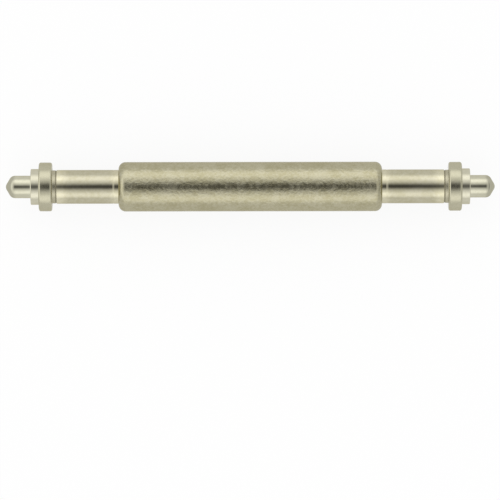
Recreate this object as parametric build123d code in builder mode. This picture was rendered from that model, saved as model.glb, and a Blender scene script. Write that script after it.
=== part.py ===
from build123d import *
from math import floor, pi, radians, sqrt, tan
import os

# Double-flanged spring bar: a drawn barrel with rolled ends, two sprung plungers and their coil spring.
# The bar lies along X with its middle at the origin. Lengths are in millimetres.
# A station is a distance out from the middle along the bar, and a radius is a distance from its axis.

# The bar as a whole
shoulder_span = 22.0
exposed_shank = 3.33
stop_clearance = 0.05

# Barrel: a tube whose ends are rolled inward to keep the plungers in
barrel_diameter = 2.48
barrel_wall = 0.25
lip_reach = 0.115
mouth_edge_chamfer = 0.02

# Plunger, outside the barrel: tip, collar, flange, relief neck and shank
tip_diameter = 1.13
tip_length = 1.25
tip_cone_half_angle = 60.0
tip_nose_radius = 0.3
tip_shoulder_radius = 0.31
collar_diameter = 1.8
collar_length = 0.41
collar_edge_chamfer = 0.06
flange_diameter = 2.45
flange_length = 0.66
flange_edge_radius = 0.1
neck_length = 0.23
neck_depth = 0.02
mark_distance = 0.25
mark_width = 0.1
mark_depth = 0.01

# Plunger, inside the barrel: retaining head and guide spigot
mouth_clearance = 0.025
head_clearance = 0.025
head_length = 0.6
head_back_chamfer = 0.08
spigot_meeting_gap = 0.55
spigot_end_chamfer = 0.12

# Spring: wound open, with plain ends. The wire's round section is drawn with a few flats.
wire_diameter = 0.28
wire_sides = 8
spring_pitch_aim = 0.965
spring_bore_clearance = 0.07
spring_spigot_clearance = 0.1
spring_end_clearance = 0.02
points_per_arc = 8

# Radii, from the barrel inward
barrel_radius = barrel_diameter / 2
bore_radius = barrel_radius - barrel_wall
mouth_radius = bore_radius - lip_reach
roll_radius = barrel_radius - mouth_radius
shank_radius = mouth_radius - mouth_clearance
neck_radius = shank_radius - neck_depth
mark_radius = shank_radius - mark_depth
head_radius = bore_radius - head_clearance
head_front_chamfer = lip_reach - (2 - sqrt(2)) * head_clearance
wire_radius = wire_diameter / 2
coil_radius = bore_radius - spring_bore_clearance - wire_radius
spigot_radius = coil_radius - wire_radius - spring_spigot_clearance
tip_radius = tip_diameter / 2
collar_radius = collar_diameter / 2
flange_radius = flange_diameter / 2

# Stations, from the tip inward
shoulder_station = shoulder_span / 2
tip_station = shoulder_station + tip_length
flange_outer_station = shoulder_station - collar_length
flange_inner_station = flange_outer_station - flange_length
neck_station = flange_inner_station - neck_length
mouth_station = flange_inner_station - exposed_shank
mark_station = mouth_station + mark_distance
roll_station = mouth_station - roll_radius
lip_station = mouth_station - barrel_wall
head_front_station = lip_station - head_clearance
head_back_station = head_front_station - head_length
travel = exposed_shank - stop_clearance
spigot_station = travel + spigot_meeting_gap / 2


def corner(sketch, station, radius):
    """The corner of a turned outline that lies at this station and radius."""
    return sketch.vertices().sort_by_distance((station, radius))[0]


# Barrel: the tube's wall in section, drawn for one end and mirrored, then turned about the bar's axis.
# Rolling bends the wall in through a right angle. Its inside becomes the cone that the head seats on.
with BuildPart() as barrel:
    with BuildSketch() as wall_section:
        with BuildLine():
            outer_roll = CenterArc((roll_station, mouth_radius), roll_radius, 0, 90)
            Line((0, barrel_radius), outer_roll @ 1)
            Polyline(
                outer_roll @ 0,
                (lip_station, mouth_radius),
                (lip_station - lip_reach, bore_radius),
                (0, bore_radius),
            )
            mirror(about=Plane.YZ)
        make_face()
        for end in (mouth_station, -mouth_station):
            chamfer(corner(wall_section, end, mouth_radius), length=mouth_edge_chamfer)
    revolve(axis=Axis.X)
barrel.part.label = "barrel"

# Right plunger: one lathe outline from the domed tip to the spigot, turned about the bar's axis.
# The tip is a blunt cone. Its nose is an arc centred on the axis, which the cone leaves at its own slope.
with BuildPart() as right_plunger:
    with BuildSketch() as turned_section:
        with BuildLine():
            nose_centre = (tip_station - tip_nose_radius, 0)
            nose = CenterArc(nose_centre, tip_nose_radius, 0, 90 - tip_cone_half_angle)
            nose_edge = nose @ 1
            cone_length = (tip_radius - nose_edge.Y) / tan(radians(tip_cone_half_angle))
            cone_station = nose_edge.X - cone_length
            Polyline(
                nose_edge,
                (cone_station, tip_radius),
                (shoulder_station, tip_radius),
                (shoulder_station, collar_radius),
                (flange_outer_station, collar_radius),
                (flange_outer_station, flange_radius),
                (flange_inner_station, flange_radius),
                (flange_inner_station, neck_radius),
                (neck_station, neck_radius),
                (neck_station, shank_radius),
                (mark_station + mark_width / 2, shank_radius),
                (mark_station, mark_radius),
                (mark_station - mark_width / 2, shank_radius),
                (head_front_station, shank_radius),
                (head_front_station, head_radius),
                (head_back_station, head_radius),
                (head_back_station, spigot_radius),
                (spigot_station, spigot_radius),
                (spigot_station, 0),
                nose @ 0,
            )
        make_face()
        fillet(corner(turned_section, cone_station, tip_radius), radius=tip_shoulder_radius)
        chamfer(corner(turned_section, shoulder_station, collar_radius), length=collar_edge_chamfer)
        fillet(corner(turned_section, flange_outer_station, flange_radius), radius=flange_edge_radius)
        fillet(corner(turned_section, flange_inner_station, flange_radius), radius=flange_edge_radius)
        chamfer(corner(turned_section, head_front_station, head_radius), length=head_front_chamfer)
        chamfer(corner(turned_section, head_back_station, head_radius), length=head_back_chamfer)
        chamfer(corner(turned_section, spigot_station, spigot_radius), length=spigot_end_chamfer)
    revolve(axis=Axis.X)
right_plunger.part.label = "right_plunger"

# Left plunger: the same turning, facing the other way
with BuildPart() as left_plunger:
    mirror(right_plunger.part, about=Plane.YZ)
left_plunger.part.label = "left_plunger"

# Spring: one wire wound round both spigots, from head to head. It holds a whole number of half turns,
# few enough that its turns don't meet while both plungers are pressed in.
coil_length = 2 * (head_back_station - spring_end_clearance - wire_radius)
pressed_room = 2 * (head_back_station - travel)
most_half_turns = floor(2 * (pressed_room / wire_diameter - 1))
half_turns = min(floor(2 * coil_length / spring_pitch_aim), most_half_turns)
spring_pitch = 2 * coil_length / half_turns


def coil_point(turns):
    """A point on the wire's centre line, this many turns from its left end."""
    across = Vector(0, coil_radius, 0).rotate(Axis.X, 360 * turns)
    return across + Vector(spring_pitch * turns - coil_length / 2, 0, 0)


def coil_direction(turns):
    """The way the wire runs there."""
    around = Vector(0, 0, 2 * pi * coil_radius).rotate(Axis.X, 360 * turns)
    return (around + Vector(spring_pitch, 0, 0)).normalized()


def biarc_joint(start, start_way, end, end_way):
    """Where two arcs meet that leave start and reach end along the given ways, and the way they meet."""
    span, ways = end - start, start_way + end_way
    square = 2 * start_way.dot(end_way) - 2
    linear = -2 * span.dot(ways)
    reach = (-linear - sqrt(linear ** 2 - 4 * square * span.dot(span))) / (2 * square)
    after_start, before_end = start + start_way * reach, end - end_way * reach
    return (after_start + before_end) / 2, (before_end - after_start).normalized()


with BuildPart() as spring:
    with BuildLine() as wire_line:
        for half_turn in range(half_turns):
            start, end = coil_point(half_turn / 2), coil_point((half_turn + 1) / 2)
            start_way, end_way = coil_direction(half_turn / 2), coil_direction((half_turn + 1) / 2)
            joint, joint_way = biarc_joint(start, start_way, end, end_way)
            TangentArc(start, joint, tangent=start_way)
            TangentArc(joint, end, tangent=joint_way)
    with BuildSketch(Plane(origin=coil_point(0), z_dir=coil_direction(0))):
        RegularPolygon(wire_radius, wire_sides)
    sweep(path=wire_line.wire())
spring.part.label = "spring"

# The least gap between two turns, measured on points along the wire that are over half a turn apart
wire_points = [arc @ (step / points_per_arc) for arc in wire_line.edges() for step in range(points_per_arc)]
half_turn_points = 2 * points_per_arc
turn_gap = min(
    (wire_points[later] - wire_points[earlier]).length - wire_diameter
    for later in range(half_turn_points, len(wire_points))
    for earlier in range(later - half_turn_points)
)
solid_length = (half_turns / 2 + 1) * wire_diameter
print(f"bar: {2 * tip_station:.2f} long over the tips, {shoulder_span:.2f} over the collars")
print(f"plungers: each travels {travel:.2f} before its flange meets the barrel")
print(f"spring: {half_turns / 2:.1f} turns at a pitch of {spring_pitch:.3f}, least gap between turns {turn_gap:.3f}")
print(f"spring: solid at {solid_length:.2f}, with {pressed_room:.2f} left when both plungers are pressed in")

os.makedirs("parts", exist_ok=True)
for piece in (barrel, left_plunger, right_plunger, spring):
    export_step(piece.part, f"parts/{piece.part.label}.step")
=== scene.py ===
from math import cos, pi, radians, sin

import bmesh
import bpy
from mathutils import Matrix, Vector


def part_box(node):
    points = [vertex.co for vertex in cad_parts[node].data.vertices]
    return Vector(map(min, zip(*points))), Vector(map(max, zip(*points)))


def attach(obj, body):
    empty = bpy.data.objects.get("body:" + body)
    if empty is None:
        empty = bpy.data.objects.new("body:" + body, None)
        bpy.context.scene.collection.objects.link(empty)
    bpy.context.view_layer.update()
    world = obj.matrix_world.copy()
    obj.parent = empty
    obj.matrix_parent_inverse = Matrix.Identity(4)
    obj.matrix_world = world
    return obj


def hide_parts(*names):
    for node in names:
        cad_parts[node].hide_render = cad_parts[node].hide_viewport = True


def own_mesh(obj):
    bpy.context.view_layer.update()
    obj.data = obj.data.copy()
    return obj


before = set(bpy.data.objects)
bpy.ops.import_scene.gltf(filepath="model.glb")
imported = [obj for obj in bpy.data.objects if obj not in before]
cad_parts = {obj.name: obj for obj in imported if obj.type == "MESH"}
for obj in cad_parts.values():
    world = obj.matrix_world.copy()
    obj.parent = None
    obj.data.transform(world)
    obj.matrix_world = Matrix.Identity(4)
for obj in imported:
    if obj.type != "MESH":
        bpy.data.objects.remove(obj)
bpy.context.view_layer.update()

# A double-flanged spring bar lying on a white table, seen from straight above.
# The bar lies along X with its middle at the origin. Sizes are in millimetres, which MM turns into metres.
# A station is a distance out from the middle along the bar, and a radius is a distance from its axis.
MM = 0.001
scene = bpy.context.scene
scene.view_settings.view_transform = "Standard"

# What the frame says about the bar as a whole
barrel_low, barrel_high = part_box("barrel")
barrel_radius = barrel_high.y / MM
mouth_station = barrel_high.x / MM
tip_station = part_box("right_plunger")[1].x / MM

# The camera: a long lens straight above. The bar lies in the upper half of its view, a hair off level.
picture_width = 500
pixels_per_mm = 19.95
bar_centre_pixel = (250.4, 186.6)
bar_tilt_degrees = 0.09
lens_length = 400.0
sensor_width = 36.0
nearest_seen = 10.0
farthest_seen = 10000.0
view_width = picture_width / pixels_per_mm
camera_height = view_width * lens_length / sensor_width
camera_right = (picture_width / 2 - bar_centre_pixel[0]) / pixels_per_mm
camera_up = (bar_centre_pixel[1] - picture_width / 2) / pixels_per_mm

camera_data = bpy.data.cameras.new("camera")
camera_data.lens = lens_length
camera_data.sensor_width = sensor_width
camera_data.clip_start = nearest_seen * MM
camera_data.clip_end = farthest_seen * MM
camera = bpy.data.objects.new("camera", camera_data)
camera.location = Vector((camera_right, camera_up, camera_height)) * MM
camera.rotation_euler = (0, 0, -radians(bar_tilt_degrees))
scene.collection.objects.link(camera)
scene.camera = camera


# The studio: a white light tent over the bar. Its roof is dark round the camera's opening, its walls are
# brightest a little way down and fade towards the table, its right end is dimmer than its left one, and its
# far side a little brighter than the near one. Angles are in degrees from straight above.
class Shade:
    """A shader socket that takes part in Python expressions. Each operation adds its own node."""

    def __init__(self, tree, socket=None):
        self.tree, self.socket = tree, socket

    def node(self, kind, inputs=(), output=0, **settings):
        """Adds a node, sets it, feeds its inputs and gives one output, by number or name, if it has any."""
        added = self.tree.nodes.new(kind)
        for name, setting in settings.items():
            setattr(added, name, setting)
        for name, value in dict(inputs).items():
            if isinstance(value, Shade):
                self.tree.links.new(value.socket, added.inputs[name])
            else:
                added.inputs[name].default_value = value
        return Shade(self.tree, added.outputs[output] if added.outputs else None)

    def maths(self, operation, *others):
        """One step of arithmetic on this socket."""
        return self.node("ShaderNodeMath", enumerate((self, *others)), operation=operation)

    def __add__(self, other):
        return self.maths("ADD", other)

    def __sub__(self, other):
        return self.maths("SUBTRACT", other)

    def __mul__(self, other):
        return self.maths("MULTIPLY", other)

    def __rsub__(self, other):
        return self * -1 + other

    __radd__ = __add__

    def rise(self, low, high):
        """0 below low, 1 above high, and a smooth step between them."""
        sockets = {"Value": self, "From Min": low, "From Max": high}
        return self.node("ShaderNodeMapRange", sockets, interpolation_type="SMOOTHSTEP")

    def stretched(self, along, across):
        """These coordinates, multiplied along the bar and across it."""
        return self.node("ShaderNodeMapping", {"Vector": self, "Scale": (along, across, across)})

    def noise(self, scale, detail):
        """Smooth noise from about 0 to 1, with this many waves to a metre and this much fine detail."""
        return self.node("ShaderNodeTexNoise", {"Vector": self, "Scale": scale, "Detail": detail})

    def mixed(self, first, second):
        """The first colour where this is 0, and the second where it is 1."""
        # The colour sockets share their names with others of the node, so they go by number.
        sockets = {0: self, 6: first, 7: second}
        return self.node("ShaderNodeMix", sockets, output=2, data_type="RGBA")


opening_edge = (3.0, 32.0)
wall_edge = (24.0, 56.0)
fade_edge = (62.0, 92.0)
opening_light = 0.1
roof_light = 0.95
wall_light = 1.56
table_line_light = 1.0
end_edge = (70.0, 88.0)
end_slant = 0.45
end_loss = 0.37
far_gain = 0.04

world = bpy.data.worlds.new("tent")
world.use_nodes = True
world.node_tree.nodes.clear()
sky = Shade(world.node_tree)
direction = sky.node("ShaderNodeTexCoord")
rightward = direction.node("ShaderNodeSeparateXYZ", {"Vector": direction}, output="X")
farward = direction.node("ShaderNodeSeparateXYZ", {"Vector": direction}, output="Y")
height = direction.node("ShaderNodeSeparateXYZ", {"Vector": direction}, output="Z")
from_above = height.maths("ARCCOSINE") * (180 / pi)
roof = opening_light + from_above.rise(*opening_edge) * (roof_light - opening_light)
wall = roof + from_above.rise(*wall_edge) * (wall_light - roof_light)
tent = wall - from_above.rise(*fade_edge) * (wall_light - table_line_light)
dimming = (rightward * end_slant + end_loss) * rightward * rightward * (1 - from_above.rise(*end_edge))
lit = tent * (1 - dimming) * (1 + farward * far_gain)
glow = lit.node("ShaderNodeBackground", {"Color": (1, 1, 1, 1), "Strength": lit})
glow.node("ShaderNodeOutputWorld", {"Surface": glow})
scene.world = world

# The table: a sheet of matt white paper. The camera and the metal see it white, with a part of the shadow
# that lies on it.
table_half = 400.0
paper_white = (0.9, 0.9, 0.9, 1)
white_share = 0.88

bm = bmesh.new()
table_place = Matrix.Translation((0, 0, barrel_low.z))
bmesh.ops.create_grid(bm, x_segments=1, y_segments=1, size=table_half * MM, matrix=table_place)
table_mesh = bpy.data.meshes.new("table")
bm.to_mesh(table_mesh)
bm.free()
table = bpy.data.objects.new("table", table_mesh)
scene.collection.objects.link(table)

paper = bpy.data.materials.new("paper")
paper.use_nodes = True
paper.node_tree.nodes.clear()
sheet = Shade(paper.node_tree)
camera_ray = sheet.node("ShaderNodeLightPath")
glossy_ray = sheet.node("ShaderNodeLightPath", output="Is Glossy Ray")
through_ray = sheet.node("ShaderNodeLightPath", output="Is Transmission Ray")
seen = (camera_ray + glossy_ray + through_ray).maths("MINIMUM", 1.0)
matt = sheet.node("ShaderNodeBsdfDiffuse", {"Color": paper_white})
white = sheet.node("ShaderNodeEmission", {"Strength": 1.0})
surface = sheet.node("ShaderNodeMixShader", {0: seen * white_share, 1: matt, 2: white})
sheet.node("ShaderNodeOutputMaterial", {"Surface": surface})
table_mesh.materials.append(paper)

# Barrel: a drawn steel tube, ground round and tumbled to a satin skin with a faint mottle. Its two ends are
# rolled inward to a quarter round, and the edge of each mouth is broken.
barrel_wall = 0.25
lip_reach = 0.115
mouth_edge_round = 0.015
lip_root_round = 0.04
bore_radius = barrel_radius - barrel_wall
mouth_radius = bore_radius - lip_reach
roll_radius = barrel_radius - mouth_radius - mouth_edge_round
lip_station = mouth_station - barrel_wall
round_steps = 8
ring_steps = 128
merge_distance = 0.0001
sharp_angle = radians(30.0)
wide_face_weight = 100
edge_tint = (0.78, 0.76, 0.68, 1)
turning_waves = (8.0, 0.6)
coarse_detail = 3.0
fine_detail = 2.0
patch_share = 0.5
tone_edges = (0.36, 0.64)
depth_unit = 0.001
barrel_colour = ((0.366, 0.339, 0.218, 1), (0.444, 0.419, 0.299, 1))
barrel_roughness = (0.17, 0.24)
# Painted shade: the barrel's colour is made a little darker on each rolled end.
painted_roll_shade_fade = 0.1
painted_roll_shade_share = 0.95


def rounded(corners):
    """A turned outline as points, from corners of (station, radius, round). A round of 0 stays sharp."""
    points = []
    last = len(corners) - 1
    for number, (station, radius, size) in enumerate(corners):
        corner = Vector((station, radius))
        if size == 0 or number in (0, last):
            points.append(corner)
            continue
        back = (Vector(corners[number - 1][:2]) - corner).normalized()
        ahead = (Vector(corners[number + 1][:2]) - corner).normalized()
        half_angle = back.angle(ahead) / 2
        centre = corner + (back + ahead).normalized() * (size / sin(half_angle))
        start = corner + back * (size * cos(half_angle) / sin(half_angle)) - centre
        end = corner + ahead * (size * cos(half_angle) / sin(half_angle)) - centre
        for step in range(round_steps + 1):
            points.append(centre + start.slerp(end, step / round_steps).normalized() * size)
    return points


def turned(name, outline, closed, side=1):
    """A solid turned about the bar's axis from an outline of (station, radius) points, as one object."""
    bm = bmesh.new()
    rings = [bm.verts.new((side * station * MM, radius * MM, 0)) for station, radius in outline]
    pairs = list(zip(rings, rings[1:])) + ([(rings[-1], rings[0])] if closed else [])
    edges = [bm.edges.new(pair) for pair in pairs]
    bmesh.ops.spin(
        bm,
        geom=rings + edges,
        cent=(0, 0, 0),
        axis=(1, 0, 0),
        angle=2 * pi,
        steps=ring_steps,
        use_merge=True,
    )
    bmesh.ops.remove_doubles(bm, verts=bm.verts, dist=merge_distance * MM)
    bmesh.ops.recalc_face_normals(bm, faces=bm.faces)
    return finished(name, bm)


def finished(name, bm):
    """The mesh as an object in the scene, smooth but for its sharp edges, with its wide faces kept true."""
    for face in bm.faces:
        face.smooth = True
    for edge in bm.edges:
        edge.smooth = edge.calc_face_angle(0) < sharp_angle
    mesh = bpy.data.meshes.new(name)
    bm.to_mesh(mesh)
    bm.free()
    made = bpy.data.objects.new(name, mesh)
    scene.collection.objects.link(made)
    true_faces = made.modifiers.new("true_faces", "WEIGHTED_NORMAL")
    true_faces.weight = wide_face_weight
    true_faces.keep_sharp = True
    return made


def steel(name, colours, roughness, grain, mottle, ring_depth, grain_depth, painted_light_changes=()):
    """Satin or bright steel: two tones that drift over it, rings left by turning, and a fine grain.

    grain and mottle are waves to a millimetre, and the two depths are thousandths of one. Each change is
    two stations and a share by which the colour is scaled beyond the second of them, coming from 1 at the
    first: painted light where the share is above 1 and painted shade where it is below."""
    made = bpy.data.materials.new(name)
    made.use_nodes = True
    made.node_tree.nodes.clear()
    skin = Shade(made.node_tree)
    place = skin.node("ShaderNodeTexCoord", output="Object")
    patches = place.noise(mottle / MM, coarse_detail)
    speckle = place.noise(grain / MM, fine_detail)
    rings = place.stretched(*turning_waves).noise(1 / MM, coarse_detail)
    tone = (patches * patch_share + speckle * (1 - patch_share)).rise(*tone_edges)
    rough = roughness[0] + tone * (roughness[1] - roughness[0])
    relief = rings * ring_depth + speckle * grain_depth
    bumps = skin.node("ShaderNodeBump", {"Strength": 1.0, "Distance": depth_unit * MM, "Height": relief})
    distance = place.node("ShaderNodeSeparateXYZ", {"Vector": place}, output="X").maths("ABSOLUTE")
    station = distance * (1 / MM)
    # Painted light and painted shade: the colour is scaled up or down beyond the given stations.
    painted_light_scale = 1
    for first, second, share in painted_light_changes:
        painted_light_scale = (1 + station.rise(first, second) * (share - 1)) * painted_light_scale
    painted_light_scaling = {"Vector": tone.mixed(*colours), "Scale": painted_light_scale}
    colour = skin.node("ShaderNodeVectorMath", painted_light_scaling, operation="SCALE")
    sockets = {
        "Base Color": colour,
        "Roughness": rough,
        "Metallic": 1.0,
        "Specular Tint": edge_tint,
        "Normal": bumps,
    }
    shader = skin.node("ShaderNodeBsdfPrincipled", sockets)
    skin.node("ShaderNodeOutputMaterial", {"Surface": shader})
    return made


half_wall = [
    (mouth_station, barrel_radius, roll_radius),
    (mouth_station, mouth_radius, mouth_edge_round),
    (lip_station, mouth_radius, lip_root_round),
    (lip_station - lip_reach, bore_radius, 0),
]
other_half = [(-station, radius, size) for station, radius, size in reversed(half_wall)]
middle_outside = (0, barrel_radius, 0)
wall_outline = rounded([middle_outside, *half_wall, (0, bore_radius, 0), *other_half, middle_outside])
barrel = turned("barrel_tube", wall_outline[:-1], closed=True)
# Painted shade on each rolled end of the barrel, as a change for steel()
roll_start = mouth_station - roll_radius
painted_roll_shade = (roll_start, roll_start + painted_roll_shade_fade, painted_roll_shade_share)
barrel_steel = steel(
    "barrel_steel",
    barrel_colour,
    barrel_roughness,
    grain=7.0,
    mottle=1.4,
    ring_depth=0.6,
    grain_depth=13.0,
    painted_light_changes=[painted_roll_shade],
)
barrel.data.materials.append(barrel_steel)
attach(barrel, "barrel")
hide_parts("barrel")

# Plungers: two equal pins, turned from bright steel bar. Out of the barrel come a polished shank with a fine
# scribed ring, a dull relief neck, a satin flange, a polished collar, and a polished tip with a blunt nose.
# Inside the barrel each has a head, which keeps it in, and a spigot, which guides the spring.
shoulder_station = 11.0
tip_radius = 0.565
nose_radius = 0.3
nose_turn = radians(30.0)
nose_steps = 8
tip_shoulder_round = 0.31
tip_root_round = 0.03
collar_radius = 0.9
collar_round = 0.035
collar_root_round = 0.02
flange_outer_station = 10.59
flange_inner_station = 9.93
flange_radius = 1.225
flange_round = 0.1
flange_root_round = 0.03
neck_station = 9.7
neck_radius = 0.83
neck_round = 0.01
groove_width = 0.06
groove_radius = 0.81
shank_radius = 0.85
mark_station = 6.85
mark_half_width = 0.05
mark_radius = 0.842
mark_round = 0.01
head_front_station = 6.325
head_front_slope = 0.1
head_back_station = 5.725
head_back_slope = 0.08
head_radius = 0.965
spigot_radius = 0.54
spigot_station = 3.555
spigot_slope = 0.12

bright_colour = ((0.44, 0.413, 0.29, 1), (0.497, 0.471, 0.354, 1))
tip_colour = ((0.51, 0.495, 0.38, 1), (0.55, 0.535, 0.42, 1))
collar_colour = ((0.53, 0.51, 0.395, 1), (0.57, 0.55, 0.435, 1))
flange_colour = ((0.43, 0.41, 0.3, 1), (0.465, 0.445, 0.33, 1))
neck_colour = ((0.41, 0.385, 0.28, 1), (0.45, 0.425, 0.31, 1))
# Painted shade: the narrow groove at the neck's end is coloured much darker than the neck, for the shade in
# it.
groove_painted_shade_colour = ((0.27, 0.25, 0.175, 1), (0.31, 0.29, 0.21, 1))

# Painted light and shade, where a steel's colour is scaled: two stations and a share, as steel() takes them
# Painted light: the shank's colour is brighter towards the neck and towards the barrel's mouth.
painted_light_by_the_neck = (9.0, 9.6, 1.27)
painted_light_by_the_mouth = (7.1, 6.75, 1.2)
# Painted shade: the tip's dome is coloured darker than the rest of the tip.
painted_shade_on_the_dome = (11.72, 11.9, 0.78)

shank_roughness = (0.06, 0.1)
polish_roughness = (0.05, 0.1)
flange_roughness = (0.13, 0.2)
neck_roughness = (0.26, 0.34)
groove_roughness = (0.4, 0.5)
shank_painted_light = [painted_light_by_the_neck, painted_light_by_the_mouth]
polish_skin = {"grain": 7.0, "mottle": 1.2, "ring_depth": 0.25, "grain_depth": 0.2}
shank_skin = {"grain": 6.0, "mottle": 1.0, "ring_depth": 0.5, "grain_depth": 0.8}
flange_skin = {"grain": 7.0, "mottle": 1.6, "ring_depth": 0.6, "grain_depth": 1.0}
neck_skin = {"grain": 7.0, "mottle": 2.0, "ring_depth": 0.3, "grain_depth": 0.2}
groove_skin = {"grain": 9.0, "mottle": 2.0, "ring_depth": 0.2, "grain_depth": 0.2}
plunger_steels = [
    steel("shank_polish", bright_colour, shank_roughness, **shank_skin, painted_light_changes=shank_painted_light),
    steel("tip_polish", tip_colour, polish_roughness, **polish_skin, painted_light_changes=[painted_shade_on_the_dome]),
    steel("collar_polish", collar_colour, polish_roughness, **polish_skin),
    steel("flange_satin", flange_colour, flange_roughness, **flange_skin),
    steel("neck_dull", neck_colour, neck_roughness, **neck_skin),
    steel("groove_painted_shade", groove_painted_shade_colour, groove_roughness, **groove_skin),
]
steel_numbers = range(len(plunger_steels))
shank_number, tip_number, collar_number, flange_number, neck_number, groove_number = steel_numbers

nose_centre = tip_station - nose_radius
nose_angles = [nose_turn * step / nose_steps for step in range(nose_steps + 1)]
nose = [(nose_centre + nose_radius * cos(angle), nose_radius * sin(angle), 0) for angle in nose_angles]
cone_length = (tip_radius - nose[-1][1]) * sin(nose_turn) / cos(nose_turn)
plunger_outline = rounded([
    *nose,
    (nose[-1][0] - cone_length, tip_radius, tip_shoulder_round),
    (shoulder_station, tip_radius, tip_root_round),
    (shoulder_station, collar_radius, collar_round),
    (flange_outer_station, collar_radius, collar_root_round),
    (flange_outer_station, flange_radius, flange_round),
    (flange_inner_station, flange_radius, flange_round),
    (flange_inner_station, neck_radius, flange_root_round),
    (neck_station + groove_width, neck_radius, neck_round),
    (neck_station + groove_width, groove_radius, 0),
    (neck_station, groove_radius, 0),
    (neck_station, shank_radius, neck_round),
    (mark_station + mark_half_width, shank_radius, mark_round),
    (mark_station, mark_radius, mark_round),
    (mark_station - mark_half_width, shank_radius, mark_round),
    (head_front_station, shank_radius, 0),
    (head_front_station, head_radius - head_front_slope, 0),
    (head_front_station - head_front_slope, head_radius, 0),
    (head_back_station + head_back_slope, head_radius, 0),
    (head_back_station, head_radius - head_back_slope, 0),
    (head_back_station, spigot_radius, 0),
    (spigot_station + spigot_slope, spigot_radius, 0),
    (spigot_station, spigot_radius - spigot_slope, 0),
    (spigot_station, 0, 0),
])


def plunger_finish(station):
    """Which of the plunger's steels covers it at this station."""
    if station > shoulder_station:
        return tip_number
    if station > flange_outer_station:
        return collar_number
    if station > flange_inner_station:
        return flange_number
    if station > neck_station + groove_width:
        return neck_number
    if station > neck_station:
        return groove_number
    return shank_number


for side, body in ((-1, "left_plunger"), (1, "right_plunger")):
    plunger = turned(body + "_pin", plunger_outline, closed=False, side=side)
    for made in plunger_steels:
        plunger.data.materials.append(made)
    for face in plunger.data.polygons:
        face.material_index = plunger_finish(abs(face.center.x) / MM)
    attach(plunger, body)
    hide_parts(body)

# Spring: round steel wire, drawn and wound open, hidden in the barrel between the two heads. It is made as
# two halves that meet in the middle, both fixed to the barrel.
wire_radius = 0.14
coil_radius = 0.78
coil_half_length = 5.565
turns_in_half = 5.75
points_per_turn = 32
wire_sides = 16
wire_colour = ((0.34, 0.33, 0.27, 1), (0.4, 0.39, 0.33, 1))
wire_roughness = (0.2, 0.3)
wire_skin = {"grain": 12.0, "mottle": 2.0, "ring_depth": 0.3, "grain_depth": 0.2}
wire_steel = steel("drawn_wire", wire_colour, wire_roughness, **wire_skin)


def wire_ring(bm, turns):
    """The wire's round section, this many turns from the middle of the spring."""
    angle = 2 * pi * (turns + turns_in_half)
    along = coil_half_length * turns / turns_in_half
    centre = Vector((along, coil_radius * cos(angle), coil_radius * sin(angle)))
    pitch = coil_half_length / turns_in_half
    way = Vector((pitch, -2 * pi * coil_radius * sin(angle), 2 * pi * coil_radius * cos(angle)))
    place = Matrix.Translation(centre * MM) @ way.to_track_quat("Z", "Y").to_matrix().to_4x4()
    made = bmesh.ops.create_circle(bm, segments=wire_sides, radius=wire_radius * MM, matrix=place)
    return {edge for vert in made["verts"] for edge in vert.link_edges}


for side, name in ((-1, "left"), (1, "right")):
    bm = bmesh.new()
    ring_count = round(turns_in_half * points_per_turn)
    rings = [wire_ring(bm, side * number / points_per_turn) for number in range(ring_count + 1)]
    for ring, following in zip(rings, rings[1:]):
        bmesh.ops.bridge_loops(bm, edges=list(ring | following))
    bmesh.ops.holes_fill(bm, edges=bm.edges, sides=wire_sides)
    bmesh.ops.recalc_face_normals(bm, faces=bm.faces)
    half = finished(name + "_spring_half", bm)
    half.data.materials.append(wire_steel)
    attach(half, "barrel")
    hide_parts("spring")
    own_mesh(half)
